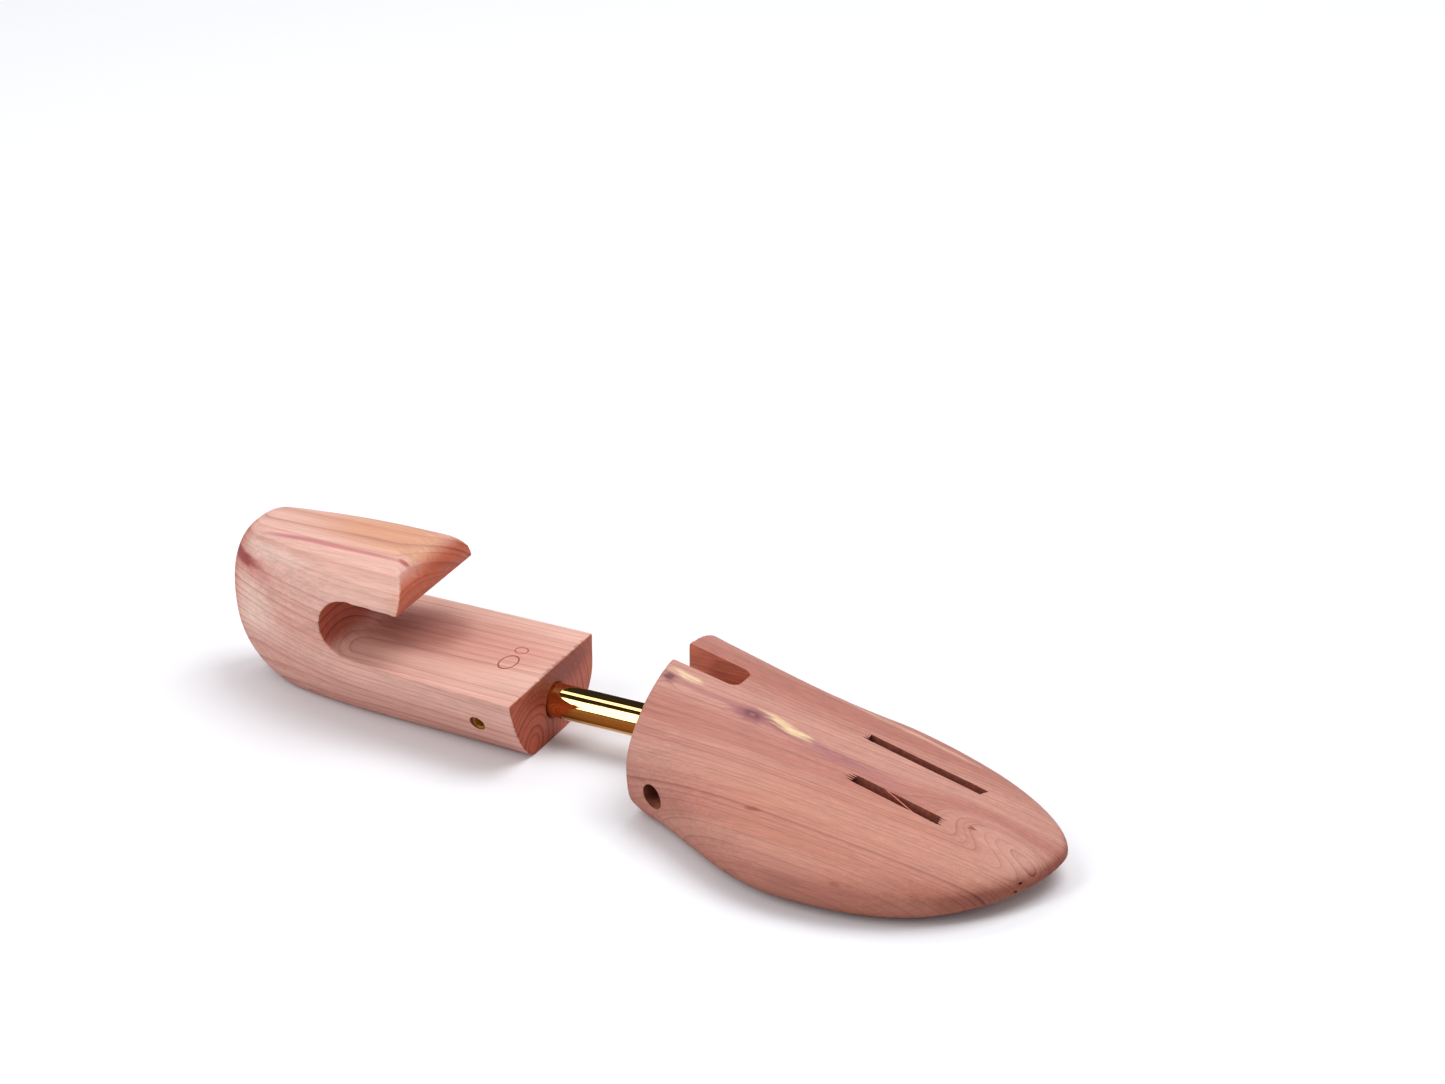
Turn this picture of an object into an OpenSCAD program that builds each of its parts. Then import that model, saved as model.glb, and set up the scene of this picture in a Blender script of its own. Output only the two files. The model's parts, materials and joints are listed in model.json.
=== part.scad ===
// Sprung shoe tree for a left shoe: a solid cedar heel block and toe block joined by one tube.
// The tube is hinged in the toe block and slides, against a spring, in the heel block.
// Origin: on the surface the tree stands on, straight below the hinge pin.
// +X points to the toe, +Y to the outer side of the foot, +Z up. Millimetres.

/* [Overall] */
// Length of the heel block along the foot
heel_len = 121; // [90:1:160]
// Length of the toe block along the foot
toe_len = 140; // [105:1:180]
// Free gap between the two blocks, with the spring out
gap = 46; // [30:1:70]
// Height of the tube's centre line
axis_z = 13.5; // [11.5:0.25:18]

/* [Heel block] */
// Height of the heel block at the crown of its handle
heel_h = 58.5; // [48:0.5:75]
// Greatest half width towards the inner side of the foot
heel_inner = 32.2; // [24:0.2:42]
// Greatest half width towards the outer side of the foot
heel_outer = 26.4; // [20:0.2:36]
// Half width of the flat sole towards the inner side
heel_sole_inner = 14.1; // [8:0.1:20]
// Half width of the flat sole towards the outer side
heel_sole_outer = 7.5; // [4:0.1:14]
// Height of the widest point on the inner side
heel_wide_z_inner = 33.5; // [20:0.5:40]
// Height of the widest point on the outer side
heel_wide_z_outer = 16; // [8:0.5:30]
// Share by which the inner side narrows from the front to the back
heel_taper = 0.31; // [0:0.01:0.5]
// Length over which the block rounds to the back of the heel, seen from above
heel_plan_round = 60; // [35:1:75]
// Length of the rounding at the top of the back
heel_top_round = 17; // [10:1:30]
// Length of the rounding at the bottom of the back
heel_bottom_round = 32; // [15:1:45]
// Height of the rearmost point
heel_tip_z = 25.5; // [15:0.5:35]

/* [Handle] */
// Height of the step in front of the handle, which is the floor of the finger slot
step_z = 25.7; // [23:0.1:30]
// Height of the finger slot
finger_h = 20.2; // [16:0.2:24]
// Distance from the front face back to the handle's front edge
handle_setback = 43; // [30:1:55]
// Depth of the finger slot, from the handle's front edge to its round end
finger_depth = 31; // [22:1:38]
// Length over which the handle's nose rolls down
nose_len = 14; // [8:0.5:22]
// Height of the upright lip left at the nose's front edge
nose_lip = 2.2; // [1:0.1:5]

/* [Toe block] */
// Half width at the back, towards the inner side
toe_back_inner = 38.8; // [30:0.1:48]
// Half width at the back, towards the outer side
toe_back_outer = 31.5; // [26:0.5:42]
// Greatest half width at the ball of the foot, towards the inner side
ball_inner = 67.5; // [50:0.5:75]
// Half width at the ball of the foot, towards the outer side
ball_outer = 27; // [20:0.5:40]
// Distance of the ball from the back face
ball_x = 68; // [55:1:90]
// Sideways place of the toe's tip, towards the inner side
tip_inner = 14.5; // [0:0.5:25]
// Height of the crown at the back face
toe_back_h = 42.8; // [36:0.1:50]
// Height of the crown half way along
toe_mid_h = 28.2; // [20:0.1:34]
// Height that the crown line would have at the tip, before it rounds off
toe_tip_h = 17; // [10:0.5:24]
// Length over which the tip rounds off
toe_round = 37.5; // [20:0.5:50]
// Rise of the sole under the tip
toe_spring = 3.4; // [0:0.1:8]
// Rise of the sole's back edge
sole_back_rise = 2.6; // [0:0.1:4]

/* [Tube slot and air slots] */
// Distance from the toe block's back face to the hinge pin
hinge_setback = 11.5; // [9:0.25:16]
// Length of the open slot for the tube, from the back face
slot_len = 23; // [21:0.5:34]
// Gap on each side between the tube and its slot
slot_side_gap = 0.5; // [0.2:0.05:1]
// Gap under the tube where it lies on its seat
seat_gap = 0.1; // [0.05:0.05:0.3]
// Radius in the front corners of the slot
slot_corner_r = 3.4; // [1:0.1:5]
// Length of the seat that the tube lies on at the back of the slot
seat_len = 2.8; // [1:0.1:4]
// Width of each air slot
vent_w = 3.9; // [2:0.1:5]
// Distance from the back face to the middle of the air slots
vent_x = 80.5; // [60:0.5:88]
// Sideways place of the inner air slot at its middle
vent_y_inner = -26.7; // [-34:0.1:-14]
// Sideways place of the outer air slot at its middle
vent_y_outer = -2.6; // [-6:0.1:6]
// Turn of the air slots towards the inner side, in degrees
vent_turn = 6.9; // [0:0.1:10]
// Radius of the saw that cuts the air slots, from below
saw_r = 50; // [42:1:60]
// Depth of the saw's centre under the sole for the inner air slot
saw_drop_inner = 22.2; // [18:0.1:32]
// Depth of the saw's centre under the sole for the outer air slot
saw_drop_outer = 20.2; // [18:0.1:32]

/* [Tube and pins] */
// Outer diameter of the tube
tube_d = 11.4; // [9:0.1:14]
// Wall of the tube
tube_wall = 1; // [0.6:0.1:1.6]
// Length of the tube beyond the hinge pin
tube_nose = 5; // [3.6:0.1:7]
// Length of the tube behind the heel pin
tube_tail = 10; // [6:0.5:16]
// Diameter of the hinge pin
hinge_pin_d = 4; // [2.5:0.1:5]
// Length of the hinge pin in each wall of its slot
hinge_pin_grip = 9; // [5:0.5:14]
// Diameter of the open hole through which the hinge pin is driven in
access_d = 8.4; // [6:0.1:9]
// Diameter of the rolled pin in the heel block
heel_pin_d = 5.5; // [4:0.1:6.5]
// Wall of the rolled pin
heel_pin_wall = 0.9; // [0.5:0.1:1.2]
// Width of the rolled pin's open seam
heel_pin_seam = 1.2; // [0.6:0.1:2]
// Distance from the heel block's front face to the rolled pin
heel_pin_setback = 15; // [13:0.25:20]
// Depth of the rolled pin's end below the heel block's side
heel_pin_recess = 1.6; // [1:0.2:5]
// Length of the rolled pin
heel_pin_len = 38; // [30:1:44]
// Gap around each pin in the piece that turns or slides on it
pin_gap = 0.06; // [0.02:0.01:0.1]
// Gap around each pin in the wood that holds it
pin_seat_gap = 0.02; // [0:0.01:0.05]

/* [Spring] */
// Travel of the heel block along the tube
travel = 12; // [8:0.5:12]
// Depth of the bore in the heel block
bore_depth = 57; // [50:1:66]
// Gap around the tube in that bore
bore_gap = 0.08; // [0.02:0.01:0.1]
// Width of the bevel at the bore's mouth
bore_bevel = 0.8; // [0.2:0.1:1.2]
// Diameter of the spring's wire
wire_d = 1.3; // [0.8:0.1:1.6]
// Gap around the spring in the bore
spring_gap = 0.3; // [0.1:0.05:0.6]
// Number of sprung turns
turns = 8; // [5:1:10]

/* [Hidden] */
cedar = "#D9A184";
cut_cedar = "#CF8E70";
polished_brass = "#D9A441";
pin_steel = "#B9BBBE";
spring_steel = "#8F9296";

$fn = 48;
over = 1;             // how far a cutter runs past the face that it opens
end_gap = 0.05;       // gap at each end of the spring
toe_back = -hinge_setback;
heel_front = toe_back - gap;
heel_back = heel_front - heel_len;
heel_pin_x = heel_front - heel_pin_setback;
tube_back = heel_pin_x - tube_tail;
tube_r = tube_d / 2;
bore_r = tube_r + bore_gap;
bore_back = heel_front - bore_depth;
handle_x = heel_front - handle_setback;
finger_r = finger_h / 2;
finger_back = handle_x - finger_depth;
slot_w = tube_d + 2 * slot_side_gap;
swing_r = norm([tube_nose, tube_r]);
slot_floor = axis_z - swing_r - slot_side_gap;
seat_z = axis_z - tube_r - seat_gap;

// Curve of a superellipse: 0 at 0 degrees and 1 at 90 degrees, with exponent n
function swell(a, n) = pow(max(0, sin(a)), 2 / n);
function bulge(u, n, m) = pow(max(0, 1 - pow(min(1, max(0, u)), n)), 1 / m);
quarter = 11;         // steps in a quarter of a section
arc = [for (i = [0:quarter]) 90 * i / quarter];

// Half of a section: the flat sole, the lower curve to the widest point, the upper curve to the crown.
// side is -1 or 1, mid_y is the crown line, and sole and wide are half widths from it.
function half_section(side, mid_y, sole, wide, z_sole, z_wide, z_top, n_low, n_up) = concat(
    [for (a = arc) [mid_y + side * (sole + (wide - sole) * swell(a, n_low)),
                    z_wide - (z_wide - z_sole) * swell(90 - a, n_low)]],
    [for (a = arc) if (a > 0 && a < 90) [mid_y + side * wide * swell(90 - a, n_up),
                                         z_wide + (z_top - z_wide) * swell(a, n_up)]]);
function back_to_front(p) = [for (i = [len(p) - 1:-1:0]) p[i]];

// Heel block: a section at the distance s from its back
heel_n = 1.8;         // fullness of the plan at the back
heel_inner_low = 1.56;  // fullness of the inner side below its widest point, and above it
heel_inner_up = 2.8;
heel_outer_low = 2.2;   // fullness of the outer side below its widest point, and above it
heel_outer_up = 3.3;
function heel_plan(s) = bulge(1 - s / heel_plan_round, heel_n, heel_n);
function heel_taper_at(s) = 1 - heel_taper * (1 - s / heel_len);
function heel_crown(s) = heel_tip_z + (heel_h - heel_tip_z) * bulge(1 - s / heel_top_round, 2, 2);
function heel_sole(s) = heel_tip_z * (1 - bulge(1 - s / heel_bottom_round, 2, 2));
function heel_level(s, z) = heel_sole(s) + (heel_crown(s) - heel_sole(s)) * z / heel_h;
function heel_section(s) =
    let (k = heel_plan(s), inner = k * heel_taper_at(s), low = heel_sole(s), top = heel_crown(s))
    concat(
        half_section(-1, 0, heel_sole_inner * inner, heel_inner * inner, low,
                     heel_level(s, heel_wide_z_inner), top, heel_inner_low, heel_inner_up),
        [[0, top]],
        back_to_front(half_section(1, 0, heel_sole_outer * k, heel_outer * k, low,
                                   heel_level(s, heel_wide_z_outer), top,
                                   heel_outer_low, heel_outer_up)));

// Toe block: a section at the distance t from its back face
sole_share = 0.68;    // share of the width that is flat underneath
wide_share = 0.44;    // share of the height at which a section is widest
toe_low = 2.6;        // fullness of the sides below the widest point
toe_inner_up = 1.75;  // fullness of the inner side above it, which slopes
toe_outer_up = 2.5;   // fullness of the outer side above it, which is rounder
ball_grow = 1.45;     // how late the sides swell to the ball
tip_inner_n = [2.45, 1.6];  // fullness of the plan from the ball to the tip, on the inner side
tip_outer_n = [1.5, 1.85];  // and on the outer side
back_rise_share = 0.65;     // share of the hinge's setback over which the sole rises to the back
function crown_line(t) =
    let (u = t / toe_len, sag = 4 * (toe_mid_h - (toe_back_h + toe_tip_h) / 2))
    toe_back_h * (1 - u) + toe_tip_h * u + sag * u * (1 - u);
toe_nose_z = toe_spring + wide_share * (toe_tip_h - toe_spring);
function toe_close(t) = bulge((t - (toe_len - toe_round)) / toe_round, 2, 2);
function toe_crown(t) = toe_nose_z + (crown_line(t) - toe_nose_z) * toe_close(t);
rise_from = 0.6 * toe_len;
function toe_sole(t) =
    let (back = sole_back_rise * pow(max(0, 1 - t / (back_rise_share * hinge_setback)), 2),
         front = toe_spring * pow(max(0, (t - rise_from) / (toe_len - rise_from)), 2))
    toe_nose_z + (back + front - toe_nose_z) * toe_close(t);
function grow(t) = pow(sin(90 * min(1, t / ball_x)), ball_grow);
function past_ball(t) = max(0, t - ball_x) / (toe_len - ball_x);
function side_line(t, back, ball, tip, n) = t < ball_x
    ? back + (ball - back) * grow(t)
    : tip + (ball - tip) * bulge(past_ball(t), n[0], n[1]);
function toe_inner(t) = side_line(t, toe_back_inner, ball_inner, tip_inner, tip_inner_n);
function toe_outer(t) = side_line(t, toe_back_outer, ball_outer, -tip_inner, tip_outer_n);
function toe_section(t) =
    let (mid = (toe_outer(t) - toe_inner(t)) / 2, half = (toe_outer(t) + toe_inner(t)) / 2,
         sole = sole_share * half, low = toe_sole(t), top = toe_crown(t),
         wide_z = low + wide_share * (top - low))
    concat(
        half_section(-1, mid, sole, half, low, wide_z, top, toe_low, toe_inner_up),
        [[mid, top]],
        back_to_front(half_section(1, mid, sole, half, low, wide_z, top, toe_low, toe_outer_up)));

// A closed skin through a list of sections, each at its own x
module loft(xs, sections) {
    m = len(sections[0]);
    n = len(xs);
    points = [for (i = [0:n - 1]) for (p = sections[i]) [xs[i], p[0], p[1]]];
    sides = [for (i = [0:n - 2]) for (j = [0:m - 1])
        let (a = i * m + j, b = i * m + (j + 1) % m, c = a + m, d = b + m) each [[a, b, d], [a, d, c]]];
    polyhedron(points, concat(sides, [back_to_front([for (j = [0:m - 1]) j])],
                              [[for (j = [0:m - 1]) (n - 1) * m + j]]), convexity = 8);
}

// Places of the sections, closer together where the block rounds off
heel_steps = 44;
toe_steps = 46;
crowding = 1.7;       // how strongly the sections crowd towards the rounded end
first_s = 0.12;       // length that each rounded end leaves as a small flat
heel_s = [for (i = [0:heel_steps]) first_s + (heel_len - first_s) * pow(i / heel_steps, crowding)];
toe_t = [for (i = [0:toe_steps]) (toe_len - first_s) * (1 - pow(1 - i / toe_steps, crowding))];

module heel_blank() {
    loft([for (s = heel_s) heel_back + s], [for (s = heel_s) heel_section(s)]);
}
module toe_blank() {
    loft([for (t = toe_t) toe_back + t], [for (t = toe_t) toe_section(t)]);
}

// A round bar or hole along X or Y through the tube's centre line
module along_x(x0, x1, r) {
    translate([x0, 0, axis_z]) rotate([0, 90, 0]) cylinder(h = x1 - x0, r = r);
}
module along_y(x, y0, y1, r) {
    translate([x, y1, axis_z]) rotate([90, 0, 0]) cylinder(h = y1 - y0, r = r);
}

// A flat outline in X and Z, cut right across the block
wide = 200;           // longer than either block is wide
module across() {
    translate([0, wide / 2, 0]) rotate([90, 0, 0]) linear_extrude(wide) children();
}
// What is cut away in front of the handle: the step, the finger slot with its round end, and the nose
module handle_cut() {
    z_mid = step_z + finger_r;
    across() {
        translate([handle_x, step_z]) square([handle_setback + over, heel_h]);
        translate([finger_back + finger_r, step_z])
            square([finger_depth - finger_r + over, finger_h]);
        translate([finger_back + finger_r, z_mid]) circle(r = finger_r);
    }
    nose_base = step_z + finger_h + nose_lip;
    nose_h = heel_h - nose_base;
    across() polygon(concat(
        [for (a = [0:6:90]) [handle_x - nose_len * (1 - sin(a)), nose_base + nose_h * cos(a)]],
        [[handle_x + over, nose_base], [handle_x + over, heel_h + over],
         [handle_x - nose_len, heel_h + over]]));
}

// Half width of the heel block's inner side at the height of the pin
function heel_side_inner(x) =
    let (s = x - heel_back, k = heel_plan(s) * heel_taper_at(s),
         q = (heel_wide_z_inner - axis_z) / heel_wide_z_inner)
    k * (heel_sole_inner + (heel_inner - heel_sole_inner) * bulge(q, heel_inner_low, heel_inner_low));
heel_pin_y = -heel_side_inner(heel_pin_x) + heel_pin_recess;
heel_pin_end = heel_pin_y + heel_pin_len;
hinge_pin_half = slot_w / 2 + hinge_pin_grip;

module heel_block() {
    color(cedar) difference() {
        heel_blank();
        handle_cut();
        along_x(bore_back, heel_front + over, bore_r);
        translate([heel_front - bore_bevel, 0, axis_z]) rotate([0, 90, 0])
            cylinder(h = bore_bevel + over, r1 = bore_r, r2 = bore_r + bore_bevel + over);
        along_y(heel_pin_x, -wide / 2, heel_pin_end, heel_pin_d / 2 + pin_seat_gap);
    }
}

// The slot that the tube swings up through, its seat, and the room for the tube's end
module tube_slot() {
    inner_len = slot_len - slot_corner_r;
    depth = toe_back_h;
    translate([toe_back - over, -slot_w / 2, seat_z]) cube([seat_len + 2 * over, slot_w, depth]);
    translate([toe_back + seat_len, -slot_w / 2, slot_floor])
        cube([inner_len - seat_len, slot_w, depth]);
    translate([toe_back + seat_len, slot_corner_r - slot_w / 2, slot_floor])
        cube([slot_len - seat_len, slot_w - 2 * slot_corner_r, depth]);
    for (side = [-1, 1])
        translate([toe_back + inner_len, side * (slot_w / 2 - slot_corner_r), slot_floor])
            cylinder(h = depth, r = slot_corner_r);
}
// Room that a round saw leaves, sunk from below beside the other one
module saw_kerf(y, drop) {
    translate([toe_back + vent_x, y, -drop]) rotate([90, 0, -vent_turn])
        cylinder(h = vent_w, r = saw_r, center = true, $fn = 96);
}
module toe_block() {
    color(cut_cedar) difference() {
        toe_blank();
        tube_slot();
        saw_kerf(vent_y_inner, saw_drop_inner);
        saw_kerf(vent_y_outer, saw_drop_outer);
        along_y(0, -hinge_pin_half, hinge_pin_half, hinge_pin_d / 2 + pin_seat_gap);
        along_y(0, -wide / 2, -hinge_pin_half, access_d / 2);
    }
}

module hinge_pin() {
    color(pin_steel) along_y(0, -hinge_pin_half, hinge_pin_half, hinge_pin_d / 2);
}

// Tube with a cross hole for the hinge pin, and a long hole on each side for the rolled pin
module tube() {
    hole_r = heel_pin_d / 2 + pin_gap;
    color(polished_brass) difference() {
        along_x(tube_back, tube_nose, tube_r);
        along_x(tube_back - over, tube_nose + over, tube_r - tube_wall);
        along_y(0, -tube_d, tube_d, hinge_pin_d / 2 + pin_gap);
        for (x = [heel_pin_x, heel_pin_x + travel]) along_y(x, -tube_d, tube_d, hole_r);
        translate([heel_pin_x, -tube_d, axis_z - hole_r]) cube([travel, 2 * tube_d, 2 * hole_r]);
    }
}

// Rolled pin: a thin sleeve with an open seam towards the front and top
seam_turn = 60;
module heel_pin() {
    r = heel_pin_d / 2;
    color(polished_brass) difference() {
        along_y(heel_pin_x, heel_pin_y, heel_pin_end, r);
        along_y(heel_pin_x, heel_pin_y - over, heel_pin_end + over, r - heel_pin_wall);
        translate([heel_pin_x, heel_pin_y - over, axis_z]) rotate([0, -seam_turn, 0])
            translate([0, 0, -heel_pin_seam / 2])
                cube([heel_pin_d, heel_pin_len + 2 * over, heel_pin_seam]);
    }
}

// Compression spring between the bore's bottom and the tube's end, with one closed turn at each end
spring_from = bore_back + end_gap + wire_d / 2;
spring_to = tube_back - end_gap - wire_d / 2;
spring_r = bore_r - spring_gap - wire_d / 2;
pitch = (spring_to - spring_from - 2 * wire_d) / turns;
function spring_x(n) = spring_from + wire_d * min(n, 1) + pitch * max(0, min(n - 1, turns))
                       + wire_d * max(0, n - 1 - turns);
steps = 16;           // rings in one turn
sides = 8;            // corners of the wire
module spring() {
    rings = steps * (turns + 2);
    // a ring of corners across the wire at each step, leaning neither way
    points = [for (i = [0:rings]) let (n = i / steps, a = 360 * n)
        for (j = [0:sides - 1]) let (b = 360 * j / sides, r = spring_r + wire_d / 2 * cos(b))
            [spring_x(n) + wire_d / 2 * sin(b), r * cos(a), axis_z + r * sin(a)]];
    walls = [for (i = [0:rings - 1]) for (j = [0:sides - 1])
        let (a = i * sides + j, b = i * sides + (j + 1) % sides) each
            [[a, b, b + sides], [a, b + sides, a + sides]]];
    color(spring_steel) polyhedron(points, concat(walls, [back_to_front([for (j = [0:sides - 1]) j])],
        [[for (j = [0:sides - 1]) rings * sides + j]]), convexity = 20);
}

toe_block();
hinge_pin();
tube();
heel_block();
heel_pin();
spring();
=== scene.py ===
# %% [markdown]
# # A sprung cedar shoe tree
# A shoe tree keeps a shoe in shape while it dries. This one has two blocks of aromatic red cedar, turned
# and sanded but left unvarnished so that the wood can take up moisture, and a brass-plated tube that
# joins them. The tube slides in the heel block against a spring and hinges in the toe block.
#
# The frame comes from the CAD model: it fixes where each block, pin and hole is. What is added here is
# what a designer's model leaves out, such as smooth sanded forms, softened edges, grain and plating.

# %% Load the frame
import json
import math
import random

import bmesh
import bpy
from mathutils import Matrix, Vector


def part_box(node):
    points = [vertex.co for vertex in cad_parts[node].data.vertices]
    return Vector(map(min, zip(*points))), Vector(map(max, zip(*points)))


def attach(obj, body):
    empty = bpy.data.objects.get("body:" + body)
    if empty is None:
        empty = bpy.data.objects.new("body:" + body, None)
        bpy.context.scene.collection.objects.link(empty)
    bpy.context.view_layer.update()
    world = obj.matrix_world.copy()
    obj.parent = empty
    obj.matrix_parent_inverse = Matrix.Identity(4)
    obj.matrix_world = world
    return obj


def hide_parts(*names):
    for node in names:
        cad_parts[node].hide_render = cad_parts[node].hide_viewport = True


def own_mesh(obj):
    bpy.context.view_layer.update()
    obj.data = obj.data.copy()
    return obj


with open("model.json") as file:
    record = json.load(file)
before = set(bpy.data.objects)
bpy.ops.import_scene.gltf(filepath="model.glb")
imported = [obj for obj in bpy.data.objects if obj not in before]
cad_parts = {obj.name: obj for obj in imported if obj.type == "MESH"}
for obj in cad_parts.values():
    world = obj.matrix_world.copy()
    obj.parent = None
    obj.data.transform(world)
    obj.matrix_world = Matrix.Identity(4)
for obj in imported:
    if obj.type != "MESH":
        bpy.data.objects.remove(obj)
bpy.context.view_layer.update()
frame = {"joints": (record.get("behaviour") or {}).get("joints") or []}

scene = bpy.context.scene
MM = 0.001  # the design's sizes are in millimetres, and Blender works in metres

# %% [markdown]
# ## The camera
# A product shot of something this long is taken from well back with a long lens, so that the near block
# isn't blown up. The camera is placed by two angles and a distance from the point at the middle of its
# view, which is easier to adjust than three coordinates. The tree lies low and left in the frame.

# %% Place the camera
VIEW_AZIMUTH = math.radians(26.4)    # round from the inner side towards the toe
VIEW_ELEVATION = math.radians(26.6)
VIEW_DISTANCE = 1.478
LENS_MM, SENSOR_MM = 112.1, 36
VIEW_CENTRE = Vector((-0.022, 0.0512, 0.056))

towards_camera = Vector((math.sin(VIEW_AZIMUTH) * math.cos(VIEW_ELEVATION),
                         -math.cos(VIEW_AZIMUTH) * math.cos(VIEW_ELEVATION),
                         math.sin(VIEW_ELEVATION)))
camera_data = bpy.data.cameras.new("camera")
camera_data.lens = LENS_MM
camera_data.sensor_width = SENSOR_MM
camera = bpy.data.objects.new("camera", camera_data)
scene.collection.objects.link(camera)
camera.location = VIEW_CENTRE + VIEW_DISTANCE * towards_camera
camera.rotation_euler = towards_camera.to_track_quat("Z", "Y").to_euler()
scene.camera = camera
print("camera at", [round(v, 3) for v in camera.location])

# %% [markdown]
# ## Helpers for modelling
# The blocks are made as a lofted blank, cut with solid cutters and then sanded, in the order that a copy
# lathe, a saw and a sanding drum make the real ones. These helpers keep each of those steps to one line.

# %% Selecting and applying
def select_only(piece):
    bpy.ops.object.select_all(action="DESELECT")
    piece.select_set(True)
    bpy.context.view_layer.objects.active = piece
    return piece


def apply_modifier(piece, kind, **settings):
    select_only(piece)
    modifier = piece.modifiers.new(kind.lower(), kind)
    for setting, value in settings.items():
        setattr(modifier, setting, value)
    bpy.ops.object.modifier_apply(modifier=modifier.name)


def finish_place(piece, name):
    """Puts the piece's place into its mesh, and names it."""
    select_only(piece)
    bpy.ops.object.transform_apply(location=True, rotation=True, scale=True)
    piece.name = piece.data.name = name
    return piece


def report(piece):
    piece.data.calc_loop_triangles()
    size = [round(v / MM, 1) for v in piece.dimensions]
    print(piece.name, "is", size, "mm, with", len(piece.data.loop_triangles), "triangles")


# %% Cutters: a box, a round bar and a bar across the foot
def box_cutter(low, high):
    centre = [(a + b) / 2 * MM for a, b in zip(low, high)]
    bpy.ops.mesh.primitive_cube_add(size=1, location=centre)
    cutter = bpy.context.object
    cutter.scale = [(b - a) * MM for a, b in zip(low, high)]
    return finish_place(cutter, "cutter")


def round_cutter(centre, axis, length, radius, radius_2=None, corners=96):
    turn = {"X": (0, math.pi / 2, 0), "Y": (math.pi / 2, 0, 0), "Z": (0, 0, 0)}[axis]
    bpy.ops.mesh.primitive_cone_add(
        vertices=corners, radius1=radius * MM, radius2=(radius_2 or radius) * MM, depth=length * MM,
        location=[v * MM for v in centre], rotation=turn)
    return finish_place(bpy.context.object, "cutter")


def combine(piece, other, operation):
    """Each new face keeps the finish of the piece that it comes from."""
    apply_modifier(piece, "BOOLEAN", operation=operation, object=other, solver="EXACT",
                   material_mode="TRANSFER")
    bpy.data.objects.remove(other)
    return piece


def cut(piece, cutter):
    return combine(piece, cutter, "DIFFERENCE")


def tooled(cutter, finish):
    """Gives a cutter the finish that it leaves in the wood."""
    cutter.data.materials.append(bpy.data.materials.get(finish) or bpy.data.materials.new(finish))
    return cutter


# %% [markdown]
# ## Blanks as lofts
# Each block is a stack of cross-sections. A section is built from superellipse arcs: one exponent sets
# how square the flanks are and another how domed the top is. A circle is added as the first section and
# extruded ring by ring, and each new ring is then pressed to the outline of its place. With a section
# about every millimetre the blank is smooth enough to need no subdivision, which would pull it inwards.

# %% Section outlines and the loft
def swell(angle, exponent):
    """Rises from 0 at 0 degrees to 1 at 90, as a superellipse does; exponent 2 is a plain ellipse."""
    return max(0.0, math.sin(math.radians(angle))) ** (2 / exponent)


def bulge(u, n=2, m=2):
    """Falls from 1 at u = 0 to 0 at u = 1, as a quarter ellipse unless n and m say otherwise."""
    return max(0.0, 1 - min(1.0, max(0.0, u)) ** n) ** (1 / m)


QUARTER = 24  # steps in a quarter of a section


def half_section(side, mid, sole, wide, z_sole, z_wide, z_top, n_low, n_up):
    angles = [90 * i / QUARTER for i in range(QUARTER + 1)]
    lower = [(mid + side * (sole + (wide - sole) * swell(a, n_low)),
              z_wide - (z_wide - z_sole) * swell(90 - a, n_low)) for a in angles]
    upper = [(mid + side * wide * swell(90 - a, n_up), z_wide + (z_top - z_wide) * swell(a, n_up))
             for a in angles[1:-1]]
    return lower + upper


def loft(name, places, section_at):
    """A closed blank through section_at(s) at each (x, s) of places, in millimetres."""
    first = section_at(places[0][1])
    bpy.ops.object.select_all(action="DESELECT")
    bpy.ops.mesh.primitive_circle_add(vertices=len(first), radius=MM, fill_type="NGON",
                                      rotation=(0, math.pi / 2, 0))
    blank = finish_place(bpy.context.object, name)
    bpy.ops.object.mode_set(mode="EDIT")
    for _ in places[1:]:
        bpy.ops.mesh.extrude_region_move(TRANSFORM_OT_translate={"value": (MM, 0, 0)})
    bpy.ops.object.mode_set(mode="OBJECT")
    corners = len(first)
    for ring, (x, s) in enumerate(places):
        for corner, (y, z) in enumerate(section_at(s)):
            blank.data.vertices[ring * corners + corner].co = Vector((x, y, z)) * MM
    blank.data.materials.append(bpy.data.materials.new(name))
    select_only(blank)
    bpy.ops.object.mode_set(mode="EDIT")
    bpy.ops.mesh.select_all(action="SELECT")
    bpy.ops.mesh.normals_make_consistent(inside=False)
    bpy.ops.object.mode_set(mode="OBJECT")
    report(blank)
    return blank


# %% [markdown]
# ## The heel block
# The real block is turned on a copy lathe to the shape of a left heel: upright on the outer side,
# leaning in towards a narrow sole on the inner side. A saw then takes out the step and the finger slot,
# which leaves the handle. The sizes below are those of the design; the length and the height are read
# from the frame.

# %% Heel block sizes, and its blank
def span(node):
    low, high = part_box(node)
    return Vector(low) / MM, Vector(high) / MM


heel_low, heel_high = span("heel_block")
tube_low, tube_high = span("tube")
AXIS_Z = (tube_low.z + tube_high.z) / 2
HEEL_LENGTH = heel_high.x - heel_low.x
HEEL_HEIGHT = heel_high.z
HEEL_INNER, HEEL_OUTER = 32.2, 26.4            # greatest half widths
HEEL_SOLE_INNER, HEEL_SOLE_OUTER = 14.1, 7.5   # half widths of the flat sole
HEEL_WIDE_Z_INNER, HEEL_WIDE_Z_OUTER = 33.5, 16
HEEL_TAPER = 0.31
HEEL_PLAN_ROUND, HEEL_TOP_ROUND, HEEL_BOTTOM_ROUND = 60, 17, 32
HEEL_TIP_Z = 25.5
HEEL_FULLNESS = 1.8                            # of the round back end, seen from above
HEEL_NEAR_FULL, HEEL_FAR_FULL = (1.56, 2.8), (2.2, 3.3)   # of each flank, below and above its widest
HEEL_START, HEEL_STEPS, CROWDING = 0.12, 110, 1.7   # CROWDING draws the sections to the round end


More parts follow.
